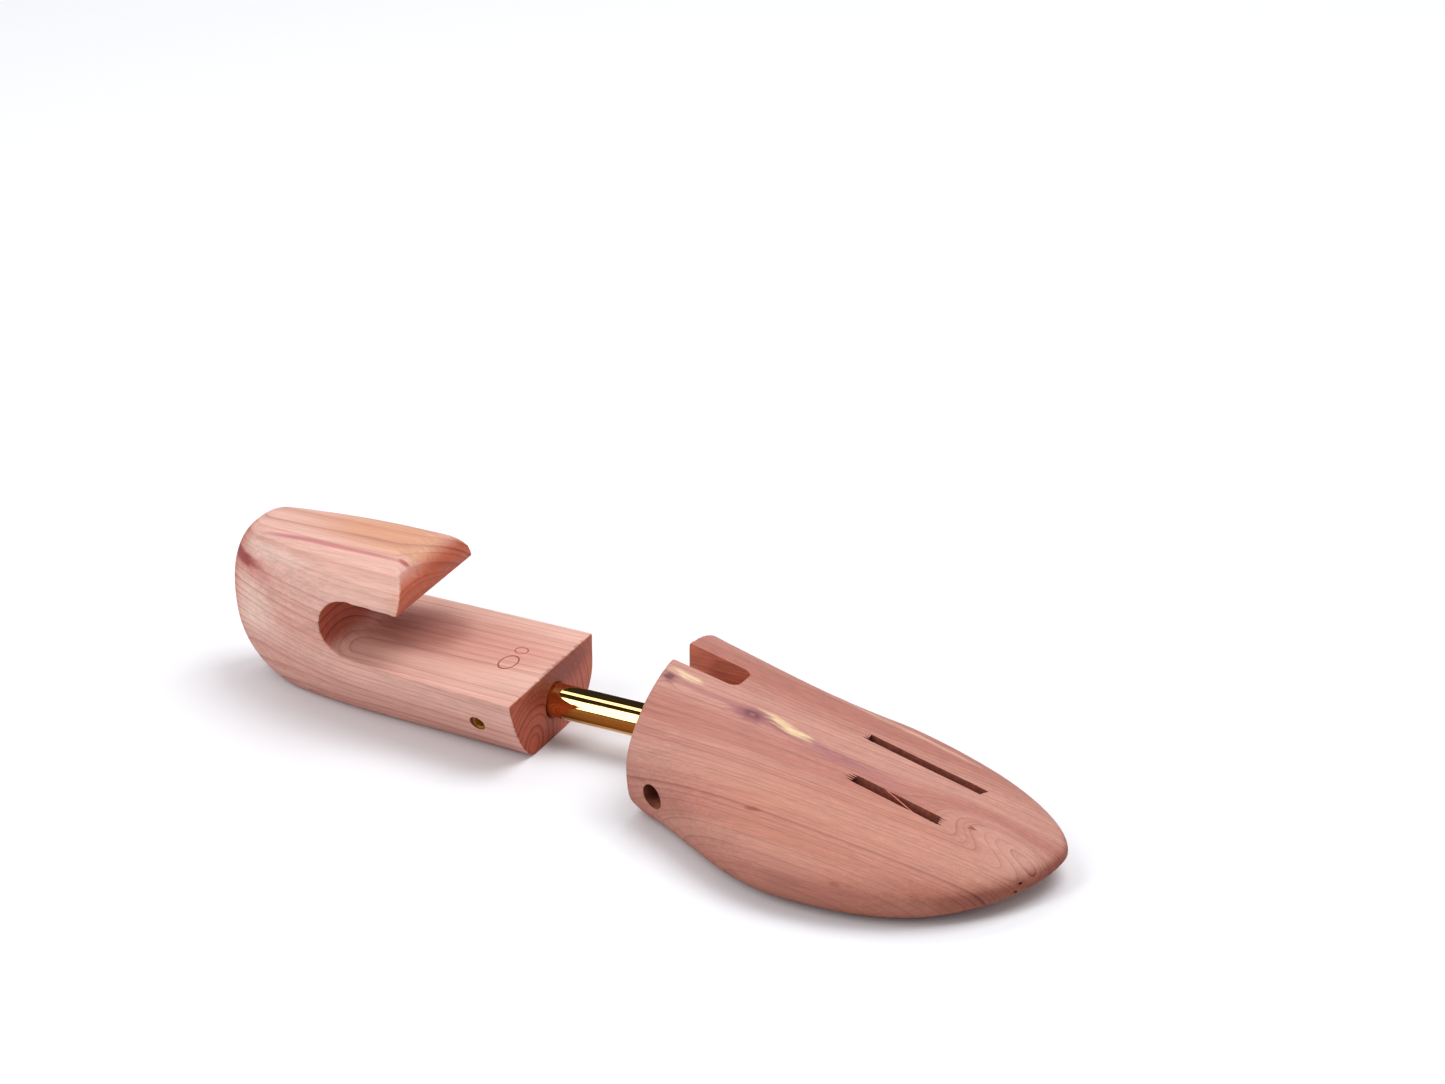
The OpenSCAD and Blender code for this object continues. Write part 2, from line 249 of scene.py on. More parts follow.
def heel_plan(s):
    return bulge(1 - s / HEEL_PLAN_ROUND, HEEL_FULLNESS, HEEL_FULLNESS)


def heel_section(s):
    plan = heel_plan(s)
    inner = plan * (1 - HEEL_TAPER * (1 - s / HEEL_LENGTH))
    low = HEEL_TIP_Z * (1 - bulge(1 - s / HEEL_BOTTOM_ROUND))
    top = HEEL_TIP_Z + (HEEL_HEIGHT - HEEL_TIP_Z) * bulge(1 - s / HEEL_TOP_ROUND)
    level = (top - low) / HEEL_HEIGHT
    near = half_section(-1, 0, HEEL_SOLE_INNER * inner, HEEL_INNER * inner,
                        low, low + level * HEEL_WIDE_Z_INNER, top, *HEEL_NEAR_FULL)
    far = half_section(1, 0, HEEL_SOLE_OUTER * plan, HEEL_OUTER * plan,
                       low, low + level * HEEL_WIDE_Z_OUTER, top, *HEEL_FAR_FULL)
    return near + [(0, top)] + far[::-1]


heel_stations = [HEEL_START + (HEEL_LENGTH - HEEL_START) * (i / HEEL_STEPS) ** CROWDING
                 for i in range(HEEL_STEPS + 1)]
heel_block = loft("heel_block_cedar", [(heel_low.x + s, s) for s in heel_stations], heel_section)

# %% [markdown]
# ## Sawing, sanding and boring
# Each cut is a boolean with a plain solid. The sawn blank is remeshed with small voxels and smoothed a
# little, which rounds every edge by about half a millimetre, as a sanding drum does. The holes are
# bored after that, so their edges stay crisp, and their walls take a finish of their own: torn, thirsty
# wood that no sandpaper reached.

# %% Saw out the handle
STEP_Z, FINGER_HEIGHT = 25.7, 20.2
HANDLE_SETBACK, FINGER_DEPTH = 43, 31
NOSE_LENGTH, NOSE_LIP = 14, 2.2
HEEL_PIN_SETBACK, HEEL_PIN_DIAMETER = 15, 5.5
BORE_RADIUS, BORE_DEPTH, BORE_BEVEL = 5.78, 57, 0.8
PIN_GAP = 0.1   # around each pin in its holes
WIDE = 60       # half the width of a cutter that runs right across
OVER = 5        # how far a cutter runs past the face that it opens

heel_front = heel_high.x
handle_x = heel_front - HANDLE_SETBACK
finger_radius = FINGER_HEIGHT / 2
finger_x = handle_x - FINGER_DEPTH + finger_radius
nose_base = STEP_Z + FINGER_HEIGHT + NOSE_LIP

cut(heel_block, box_cutter((handle_x, -WIDE, STEP_Z), (heel_front + OVER, WIDE, HEEL_HEIGHT + OVER)))
cut(heel_block, box_cutter((finger_x, -WIDE, STEP_Z), (handle_x + OVER, WIDE, STEP_Z + FINGER_HEIGHT)))
cut(heel_block, round_cutter((finger_x, 0, STEP_Z + finger_radius), "Y", 2 * WIDE, finger_radius))


def nose_cutter():
    """What is outside the quarter ellipse of the nose: a block with that ellipse taken out of it."""
    block = box_cutter((handle_x - NOSE_LENGTH, -WIDE, nose_base),
                       (handle_x + OVER, WIDE, HEEL_HEIGHT + OVER))
    roll = round_cutter((0, 0, 0), "Y", 3 * WIDE, 1)
    roll.scale = (NOSE_LENGTH, 1, HEEL_HEIGHT - nose_base)
    roll.location = Vector((handle_x - NOSE_LENGTH, 0, nose_base)) * MM
    cut(block, finish_place(roll, "roll"))
    return block


cut(heel_block, nose_cutter())
report(heel_block)


# %% Sand the heel block
def sand(piece, voxel, passes):
    apply_modifier(piece, "REMESH", mode="VOXEL", voxel_size=voxel * MM)
    apply_modifier(piece, "SMOOTH", factor=0.5, iterations=passes)
    report(piece)


sand(heel_block, voxel=0.62, passes=4)

# %% Make the cutter for the tube's bore and the roll pin's hole
bore = tooled(round_cutter((heel_front - BORE_DEPTH / 2 + OVER / 2, 0, AXIS_Z), "X",
                           BORE_DEPTH + OVER, BORE_RADIUS), "bored_cedar")
mouth = BORE_BEVEL + OVER
combine(bore, tooled(round_cutter((heel_front - BORE_BEVEL + mouth / 2, 0, AXIS_Z), "X", mouth,
                                  BORE_RADIUS, BORE_RADIUS + mouth), "bored_cedar"), "UNION")
pin_low, pin_high = span("heel_pin")
combine(bore, tooled(round_cutter((heel_front - HEEL_PIN_SETBACK, (pin_high.y - WIDE) / 2, AXIS_Z), "Y",
                                  pin_high.y + WIDE, HEEL_PIN_DIAMETER / 2 + PIN_GAP, corners=48),
                     "bored_cedar"), "UNION")
report(bore)

# %% [markdown]
# ## A mark burnt into the step
# Shoe trees carry a mark on the step that says which foot they are for. Here it is a plain pictogram of
# a sole, pressed in with a hot iron: one loop for the forefoot and one for the heel. Each loop is a thin
# ring, pressed into an oval and sunk a fifth of a millimetre, and its walls take the scorched colour.
# The rings join the bore's cutter, so the sanded block is cut only once, while it is still watertight.
# They sit a hair above the step, because a cutter whose edge lies in the face that it cuts can fail.

# %% Bore the block and burn the mark
MARK_SETBACK, MARK_DEPTH, MARK_LIFT = 15, 0.27, 0.06
MARK_LINE = 0.1   # half the line's width, as a share of its loop


def press_oval(y, length, width):
    bpy.ops.mesh.primitive_torus_add(major_radius=1, minor_radius=MARK_LINE,
                                     major_segments=72, minor_segments=4)
    ring = bpy.context.object
    ring.dimensions = (width * MM, length * MM, 2 * MARK_DEPTH * MM)
    ring.location = Vector((heel_front - MARK_SETBACK, y, STEP_Z + MARK_LIFT)) * MM
    combine(bore, tooled(finish_place(ring, "iron"), "scorched_cedar"), "UNION")


press_oval(y=-4.0, length=10.4, width=6.4)
press_oval(y=4.9, length=4.8, width=4.8)
cut(heel_block, bore)


HOLE_EDGE = math.radians(50)   # a turn sharper than this is an edge that a tool left


def finish_block(block):
    """Smooth where it is sanded, and sharp at the edges of the holes."""
    select_only(block)
    bpy.ops.object.shade_smooth_by_angle(angle=HOLE_EDGE)
    report(block)


finish_block(heel_block)

# %% [markdown]
# ## The toe block
# The toe block fills the front of the shoe. It bulges at the ball on the inner side, is nearly straight
# on the outer side, and comes down to a rounded tip that points a little inwards, as a left foot does.

# %% Toe block sizes, and its blank
toe_low, toe_high = span("toe_block")
TOE_LENGTH = toe_high.x - toe_low.x
TOE_BACK_INNER, TOE_BACK_OUTER = 38.8, 31.5
BALL_INNER, BALL_OUTER, BALL_X = 67.5, 27, 68
TIP_INNER = 14.5
TOE_BACK_HEIGHT, TOE_MID_HEIGHT, TOE_TIP_HEIGHT = 42.8, 28.2, 17
TIP_INNER_CURVE, TIP_OUTER_CURVE = (2.45, 1.6), (1.5, 1.85)   # how each side closes at the tip
TOE_ROUND, TOE_SPRING, SOLE_BACK_RISE = 37.5, 3.4, 2.6
SOLE_SHARE, WIDE_SHARE = 0.68, 0.44
TOE_LOW, TOE_INNER_UP, TOE_OUTER_UP = 2.6, 1.75, 2.5   # how full the sides are
BALL_GROW = 1.45                                # how late the sides swell to the ball
HINGE_SETBACK = -toe_low.x
SOLE_RISE_LENGTH = 0.65 * HINGE_SETBACK
TOE_NOSE_Z = TOE_SPRING + WIDE_SHARE * (TOE_TIP_HEIGHT - TOE_SPRING)
RISE_FROM = 0.6 * TOE_LENGTH
TIP_FLAT, TOE_STEPS = 0.02, 120


def crown_line(t):
    u = t / TOE_LENGTH
    sag = 4 * (TOE_MID_HEIGHT - (TOE_BACK_HEIGHT + TOE_TIP_HEIGHT) / 2)
    return TOE_BACK_HEIGHT * (1 - u) + TOE_TIP_HEIGHT * u + sag * u * (1 - u)


def toe_section(t):
    close = bulge((t - (TOE_LENGTH - TOE_ROUND)) / TOE_ROUND)
    back = SOLE_BACK_RISE * max(0, 1 - t / SOLE_RISE_LENGTH) ** 2
    front = TOE_SPRING * max(0, (t - RISE_FROM) / (TOE_LENGTH - RISE_FROM)) ** 2
    low = TOE_NOSE_Z + (back + front - TOE_NOSE_Z) * close
    top = TOE_NOSE_Z + (crown_line(t) - TOE_NOSE_Z) * close
    if t < BALL_X:
        grow = math.sin(math.pi / 2 * t / BALL_X) ** BALL_GROW
        inner = TOE_BACK_INNER + (BALL_INNER - TOE_BACK_INNER) * grow
        outer = TOE_BACK_OUTER + (BALL_OUTER - TOE_BACK_OUTER) * grow
    else:
        past = (t - BALL_X) / (TOE_LENGTH - BALL_X)
        inner = TIP_INNER + (BALL_INNER - TIP_INNER) * bulge(past, *TIP_INNER_CURVE)
        outer = -TIP_INNER + (BALL_OUTER + TIP_INNER) * bulge(past, *TIP_OUTER_CURVE)
    mid, half = (outer - inner) / 2, (outer + inner) / 2
    sides = [half_section(side, mid, SOLE_SHARE * half, half, low, low + WIDE_SHARE * (top - low),
                          top, TOE_LOW, fullness)
             for side, fullness in ((-1, TOE_INNER_UP), (1, TOE_OUTER_UP))]
    return sides[0] + [(mid, top)] + sides[1][::-1]


toe_stations = [(TOE_LENGTH - TIP_FLAT) * (1 - (1 - i / TOE_STEPS) ** CROWDING)
                for i in range(TOE_STEPS + 1)]
toe_block = loft("toe_block_cedar", [(toe_low.x + t, t) for t in toe_stations], toe_section)

# %% Sand the toe block, then rout the slot for the tube
SLOT_LENGTH, SLOT_CORNER, SEAT_LENGTH = 23, 3.4, 2.8
SLOT_SIDE_GAP, SEAT_GAP = 0.5, 0.1
JOIN = 1   # how far the seat's cutter reaches into the slot's, so that the two merge

tube_radius = (tube_high.z - tube_low.z) / 2
slot_half = tube_radius + SLOT_SIDE_GAP
swing = math.hypot(tube_high.x, tube_radius)
slot_floor = AXIS_Z - swing - SLOT_SIDE_GAP
seat_z = AXIS_Z - tube_radius - SEAT_GAP
sand(toe_block, voxel=0.7, passes=4)


def slot_cutter():
    """A box whose two upright edges in front of the hinge are rounded by the router bit."""
    cutter = box_cutter((toe_low.x + SEAT_LENGTH, -slot_half, slot_floor),
                        (toe_low.x + SLOT_LENGTH, slot_half, TOE_BACK_HEIGHT + OVER))
    bpy.ops.object.mode_set(mode="EDIT")
    edit = bmesh.from_edit_mesh(cutter.data)
    for edge in edit.edges:
        along = edge.verts[0].co - edge.verts[1].co
        edge.select = abs(along.z) > MM and edge.verts[0].co.x > 0
    bmesh.update_edit_mesh(cutter.data)
    bpy.ops.mesh.select_mode(type="EDGE")
    bpy.ops.mesh.bevel(offset=SLOT_CORNER * MM, segments=8)
    bpy.ops.object.mode_set(mode="OBJECT")
    return cutter


router = tooled(slot_cutter(), "routed_cedar")
combine(router, tooled(box_cutter((toe_low.x - OVER, -slot_half, seat_z),
                                  (toe_low.x + SEAT_LENGTH + JOIN, slot_half, TOE_BACK_HEIGHT + OVER)),
                       "routed_cedar"), "UNION")
cut(toe_block, router)
report(toe_block)

# %% [markdown]
# ## Air slots, and what the saw tears
# Two round saws rise through the sole and break out of the top as two narrow slots, which let the shoe
# breathe. Cedar is brittle across the grain, so where a saw breaks out it splits small teeth off the
# slot's ends, along the grain, and it left one thin splinter standing across the inner slot. The teeth
# are drawn at random from a fixed seed. They join the saw before the cut, so each slot is one clean cut.

# %% Saw the air slots
VENT_WIDTH, VENT_X, VENT_TURN, SAW_RADIUS = 3.9, 80.5, 6.9, 50
VENTS = ((-26.7, 22.2), (-2.6, 20.2))  # sideways place, and depth of the saw's centre
TOOTH_HEIGHT, TOOTH_ROOT, TOOTH_POINT = 7, 3, 0.15   # the root reaches back into the slot
TEETH = 4
dice = random.Random(11)
turn = math.radians(VENT_TURN)
vent_x = toe_low.x + VENT_X


def saw_disc(vent_y, saw_drop):
    disc = round_cutter((0, 0, 0), "Y", VENT_WIDTH, SAW_RADIUS, corners=192)
    disc.location = Vector((vent_x, vent_y, -saw_drop)) * MM
    disc.rotation_euler.z = -turn
    return tooled(finish_place(disc, "saw"), "sawn_cedar")


def tooth(vent_y, along, across, z, length, width):
    """A pointed wedge that reaches from inside a slot past its end, away from its middle."""
    way = 1 if along > 0 else -1
    bpy.ops.mesh.primitive_cone_add(vertices=4, radius1=1, radius2=TOOTH_POINT, depth=1,
                                    rotation=(0, way * math.pi / 2, -turn))
    wedge = bpy.context.object
    wedge.scale = (TOOTH_HEIGHT * MM, width / 2 * MM, (length + TOOTH_ROOT) * MM)
    middle = along + way * (length - TOOTH_ROOT) / 2
    wedge.location = Vector((vent_x + middle * math.cos(turn) + across * math.sin(turn),
                             vent_y - middle * math.sin(turn) + across * math.cos(turn), z)) * MM
    return tooled(finish_place(wedge, "tooth"), "sawn_cedar")


def tear(saw, vent_y, along, z, longest):
    """Adds a row of teeth at one end of a slot, whose longest tooth may reach that far."""
    for number in range(TEETH):
        across = VENT_WIDTH * ((number + 0.5) / TEETH - 0.5)
        combine(saw, tooth(vent_y, along, across, z, dice.uniform(0.2, 1) * longest,
                           VENT_WIDTH / TEETH * dice.uniform(0.9, 1.6)), "UNION")


inner_saw = saw_disc(*VENTS[0])
tear(inner_saw, VENTS[0][0], along=-7.9, z=27, longest=3.2)
tear(inner_saw, VENTS[0][0], along=24.4, z=21.4, longest=1.2)
report(inner_saw)
outer_saw = saw_disc(*VENTS[1])
tear(outer_saw, VENTS[1][0], along=-14, z=28, longest=1.0)
tear(outer_saw, VENTS[1][0], along=27.4, z=20.8, longest=2.4)
report(outer_saw)

# %% Leave the splinter, then cut both slots, the pin's hole and two beetle holes
ACCESS_DIAMETER = 8.4
SPLINTER_FROM, SPLINTER_TO = Vector((65.5, -21.6, 26.6)), Vector((86, -31.5, 22.7))
SPLINTER_RADII = (0.32, 0.18)
BEETLE_HOLES = ((121.7, -34.5, 9.7), (120.8, -36.1, 7.2))
BEETLE_LENGTH, BEETLE_RADII = 4, (0.45, 0.6)

splinter = round_cutter((0, 0, 0), "Z", (SPLINTER_TO - SPLINTER_FROM).length, *SPLINTER_RADII, corners=6)
splinter.location = (SPLINTER_FROM + SPLINTER_TO) / 2 * MM
splinter.rotation_euler = (SPLINTER_TO - SPLINTER_FROM).to_track_quat("Z", "Y").to_euler()
cut(inner_saw, tooled(finish_place(splinter, "splinter"), "routed_cedar"))
cut(toe_block, inner_saw)
cut(toe_block, outer_saw)
hinge_low, hinge_high = span("hinge_pin")
drill = tooled(round_cutter((0, (hinge_low.y - 2 * WIDE) / 2, AXIS_Z), "Y", hinge_low.y + 2 * WIDE,
                            ACCESS_DIAMETER / 2), "bored_cedar")
for place in BEETLE_HOLES:
    beetle = round_cutter(place, "Y", BEETLE_LENGTH, *BEETLE_RADII, corners=7)
    combine(drill, tooled(beetle, "scorched_cedar"), "UNION")
cut(toe_block, drill)
finish_block(toe_block)

# %% [markdown]
# ## The tube, the pins and the spring
# The tube is seamless brass-plated steel, drawn and then polished, so its edges are slightly rolled
# and its reflections are hard. Inside the blocks it has two crossed holes: a round one for the hinge
# pin and a long one that the heel pin slides in. The heel pin is a roll pin: a strip of brass curled
# into a C, which springs out and holds in its hole.

# %% The tube
WALL = 1.0
METAL_EDGE = math.radians(30)


def bevel_edges(piece, width):
    apply_modifier(piece, "BEVEL", width=width * MM, segments=2, limit_method="ANGLE",
                   angle_limit=METAL_EDGE)
    select_only(piece)
    bpy.ops.object.shade_smooth_by_angle(angle=METAL_EDGE)
    report(piece)


def bar(name, centre, axis, length, radius, corners=96):
    piece = round_cutter(centre, axis, length, radius, corners=corners)
    piece.name = piece.data.name = name
    return piece


tube_centre = (tube_low + tube_high) / 2
tube_length = tube_high.x - tube_low.x
tube = bar("brass_tube", tube_centre, "X", tube_length, tube_radius)
cut(tube, round_cutter(tube_centre, "X", tube_length + OVER, tube_radius - WALL))
hinge_radius = (hinge_high.z - hinge_low.z) / 2
cut(tube, round_cutter((0, 0, AXIS_Z), "Y", 4 * tube_radius, hinge_radius + PIN_GAP, corners=48))
slide = next(joint for joint in frame["joints"] if joint["name"] == "spring_slide")
TRAVEL = slide["range_m"][1] / MM
long_hole_radius = HEEL_PIN_DIAMETER / 2 + PIN_GAP
heel_pin_x = heel_front - HEEL_PIN_SETBACK
for x in (heel_pin_x, heel_pin_x + TRAVEL):
    cut(tube, round_cutter((x, 0, AXIS_Z), "Y", 4 * tube_radius, long_hole_radius, corners=48))
cut(tube, box_cutter((heel_pin_x, -2 * tube_radius, AXIS_Z - long_hole_radius),
                     (heel_pin_x + TRAVEL, 2 * tube_radius, AXIS_Z + long_hole_radius)))
bevel_edges(tube, width=0.25)

# %% The hinge pin, and the roll pin in the heel
STRIP, SEAM, SEAM_TURN = 0.9, 1.2, math.radians(60)   # the strip's thickness, and its open seam
hinge_pin = bar("hinge_pin_steel", (0, (hinge_low.y + hinge_high.y) / 2, AXIS_Z), "Y",
                hinge_high.y - hinge_low.y, hinge_radius, corners=48)
bevel_edges(hinge_pin, width=0.4)

pin_radius = (pin_high.z - pin_low.z) / 2
pin_centre = (pin_low + pin_high) / 2
heel_pin = bar("roll_pin_brass", pin_centre, "Y", pin_high.y - pin_low.y, pin_radius, corners=64)
cut(heel_pin, round_cutter(pin_centre, "Y", 2 * WIDE, pin_radius - STRIP, corners=64))
seam = box_cutter((0, pin_low.y - OVER, -SEAM / 2), (2 * pin_radius, pin_high.y + OVER, SEAM / 2))
seam.rotation_euler.y = -SEAM_TURN   # towards the front and top
seam.location = Vector((pin_centre.x, 0, pin_centre.z)) * MM
cut(heel_pin, finish_place(seam, "seam"))
bevel_edges(heel_pin, width=0.12)

# %% The spring, as a wire section screwed along the bore
spring_low, spring_high = span("spring")
spring_radius = (spring_high.z - spring_low.z) / 2
WIRE_RADIUS, SPRING_TURNS = 0.65, 10
spring_length = spring_high.x - spring_low.x
bpy.ops.mesh.primitive_circle_add(vertices=16, radius=WIRE_RADIUS * MM, rotation=(math.pi / 2, 0, 0),
                                  location=((spring_low.x + WIRE_RADIUS) * MM, 0,
                                            (AXIS_Z + spring_radius - WIRE_RADIUS) * MM))
spring = finish_place(bpy.context.object, "return_spring")
scene.cursor.location = (0, 0, AXIS_Z * MM)
select_only(spring)
bpy.ops.object.origin_set(type="ORIGIN_CURSOR")
apply_modifier(spring, "SCREW", axis="X", steps=48, render_steps=48, iterations=SPRING_TURNS,
               screw_offset=(spring_length - 2 * WIRE_RADIUS) / SPRING_TURNS * MM, use_merge_vertices=True)
finish_place(spring, "return_spring")
bpy.ops.object.mode_set(mode="EDIT")
bpy.ops.mesh.select_all(action="DESELECT")
bpy.ops.mesh.select_mode(type="EDGE")
bpy.ops.mesh.select_non_manifold()
bpy.ops.mesh.edge_face_add()
bpy.ops.mesh.select_all(action="SELECT")
bpy.ops.mesh.normals_make_consistent(inside=False)
bpy.ops.object.mode_set(mode="OBJECT")
bpy.ops.object.shade_smooth_by_angle(angle=math.radians(40))
scene.cursor.location = (0, 0, 0)
report(spring)

# %% [markdown]
# ## Materials
# All patterns are worked out in the object's own coordinates, in metres, so they run through the wood
# as real grain does and don't depend on how the surface is unwrapped. The noise textures work in turns
# per metre, so a helper turns a real size in millimetres into a scale.

# %% Helpers for materials
def colour(hex_value):
    """An sRGB hex value, such as 'C98F7D', as the linear RGBA that nodes work in."""
    channels = [int(hex_value[i:i + 2], 16) / 255 for i in (0, 2, 4)]
    return [c / 12.92 if c <= 0.04045 else ((c + 0.055) / 1.055) ** 2.4 for c in channels] + [1]


def per_metre(size_mm):
    return 1 / (size_mm * MM)


def add(tree, kind, inputs=None, **settings):
    """Adds a node with its settings; each input is a value or another node's output."""
    made = tree.nodes.new(kind)
    for setting, value in settings.items():
        setattr(made, setting, value)
    for socket, value in (inputs or {}).items():
        if isinstance(value, bpy.types.NodeSocket):
            tree.links.new(value, made.inputs[socket])
        else:
            made.inputs[socket].default_value = value
    return made


def new_material(name, **shader_inputs):
    """Fills the finish of this name, which a cutter may have left in the wood already."""
    material = bpy.data.materials.get(name) or bpy.data.materials.new(name)
    material.use_nodes = True
    shader = material.node_tree.nodes["Principled BSDF"]
    for socket, value in shader_inputs.items():
        shader.inputs[socket.replace("_", " ")].default_value = value
    return material, material.node_tree, shader


def dress(piece, material):
    piece.data.materials.clear()
    piece.data.materials.append(material)


# %% [markdown]
# ### Aromatic red cedar, planed, turned and sanded
# Eastern red cedar has a pinkish brown heartwood with cream sapwood running into it, thin dark latewood
# lines one to three millimetres apart and small tight knots with a purple bloom around them. It is left
# bare, so it is matt with only a faint sheen. The rings are distances from a pith line that runs nearly
# along the block. Knots and streaks are soft ellipsoids placed where the real ones lie, so they show
# wherever the surface cuts through them, as they do in wood. A few broad spots only deepen or lighten a
# tone, such as the darker wood on the step, and some are painted shade: in the finger slot under the
# handle, at the top of the heel's front face and, mixed with darker wood, low under the ball.

# %% Cedar: spots, and a place that wanders
def bubble(tree, place, centre, radii, turn):
    """From 1 in the middle of a turned ellipsoid to 0 at its skin, all in millimetres and degrees."""
    local = add(tree, "ShaderNodeMapping",
                {"Vector": place, "Location": Vector(centre) * MM,
                 "Rotation": [math.radians(v) for v in turn], "Scale": Vector(radii) * MM},
                vector_type="TEXTURE").outputs[0]
    return add(tree, "ShaderNodeTexGradient", {"Vector": local}, gradient_type="SPHERICAL").outputs["Fac"]


def wander(tree, place, size_mm, amount, stretch):
    """The place, shifted by a smooth noise that changes slowly along the grain."""
    slow = add(tree, "ShaderNodeVectorMath", {0: place, 1: (stretch, 1, 1)}, operation="MULTIPLY")
    noise = add(tree, "ShaderNodeTexNoise", {"Vector": slow.outputs[0], "Scale": per_metre(size_mm),
                                             "Detail": 1.0})
    centred = add(tree, "ShaderNodeVectorMath", {0: noise.outputs["Color"], 1: (0.5, 0.5, 0.5)},
                  operation="SUBTRACT")
    drift = [component * MM for component in amount]
    return add(tree, "ShaderNodeVectorMath", {0: centred.outputs[0], 1: drift, 2: place},
               operation="MULTIPLY_ADD").outputs[0]


# %% Cedar: streaks, growth rings and latewood
def streaks(tree, place, size_mm, stretch, detail, low, high):
    """A factor between low and high, from a noise that is drawn out along the grain."""
    drawn = add(tree, "ShaderNodeVectorMath", {0: place, 1: (stretch, 1, 1)}, operation="MULTIPLY")
    noise = add(tree, "ShaderNodeTexNoise", {"Vector": drawn.outputs[0], "Scale": per_metre(size_mm),
                                             "Detail": detail, "Roughness": 0.7})
    return add(tree, "ShaderNodeMapRange", {"Value": noise.outputs["Fac"], "From Min": 0.3,
                                            "From Max": 0.7, "To Min": low, "To Max": high}).outputs[0]


def growth_rings(tree, place, pith, pith_turn, ring_mm, swirls):
    """The number of each point's ring, with its fraction: the distance from the pith, in rings."""
    log = add(tree, "ShaderNodeMapping",
              {"Vector": place, "Location": Vector(pith) * MM,
               "Rotation": [math.radians(v) for v in pith_turn]}, vector_type="TEXTURE")
    across = add(tree, "ShaderNodeVectorMath", {0: log.outputs[0], 1: (0, 1, 1)}, operation="MULTIPLY")
    distance = add(tree, "ShaderNodeVectorMath", {0: across.outputs[0]},
                   operation="LENGTH").outputs["Value"]
    for centre, radii, turn_of, push in swirls:
        fall = add(tree, "ShaderNodeMapRange", {"Value": bubble(tree, place, centre, radii, turn_of),
                                                "To Max": push * MM}, interpolation_type="SMOOTHSTEP")
        distance = add(tree, "ShaderNodeMath", {0: distance, 1: fall.outputs[0]},
                       operation="ADD").outputs[0]
    even = add(tree, "ShaderNodeMath", {0: distance, 1: per_metre(ring_mm)}, operation="MULTIPLY")
    uneven = add(tree, "ShaderNodeTexNoise", {"W": even.outputs[0], "Scale": 0.35, "Detail": 1.0},
                 noise_dimensions="1D")
    return add(tree, "ShaderNodeMath", {0: uneven.outputs["Fac"], 1: 2.2, 2: even.outputs[0]},
               operation="MULTIPLY_ADD").outputs[0]


def latewood(tree, rings, faintest, strongest):
    """The dark line that ends each year's growth, stronger in some years than in others."""
    phase = add(tree, "ShaderNodeMath", {0: rings}, operation="FRACT")
    number = add(tree, "ShaderNodeMath", {0: rings}, operation="FLOOR")
    year = add(tree, "ShaderNodeTexWhiteNoise", {"W": number.outputs[0]}, noise_dimensions="1D")
    strength = add(tree, "ShaderNodeMapRange", {"Value": year.outputs["Value"], "To Min": faintest,
                                                "To Max": strongest})
    line = add(tree, "ShaderNodeValToRGB", {"Fac": phase.outputs[0]})
    stops = line.color_ramp.elements
    stops[0].color, stops[1].color = (0, 0, 0, 1), (0, 0, 0, 1)
    for position, value in ((0.45, 0.05), (0.8, 0.4), (0.92, 1.0)):
        stops.new(position).color = (value, value, value, 1)
    return add(tree, "ShaderNodeMath", {0: line.outputs["Color"], 1: strength.outputs[0]},
               operation="MULTIPLY").outputs[0]


# %% [markdown]
# The rings, spots, fibres and end grain come together in one material, which each block then calls with
# its own pith, tones and list of spots. End grain soaks up more and looks darker. How far a face looks
# along the grain is kept in the mesh as an attribute, so that the shading doesn't depend on the view.

# %% Cedar: the whole material
FIBRE_RANGE = (0.84, 1.12)   # how dark and how pale the fibres run


def mark_end_grain(piece):
    """How squarely each corner of each face looks along the grain, for the material to read."""
    mesh = piece.data
    normals = [0.0] * (3 * len(mesh.loops))
    mesh.corner_normals.foreach_get("vector", normals)
    grain = mesh.attributes.new("end_grain", "FLOAT", "CORNER")
    grain.data.foreach_set("value", [abs(value) for value in normals[0::3]])


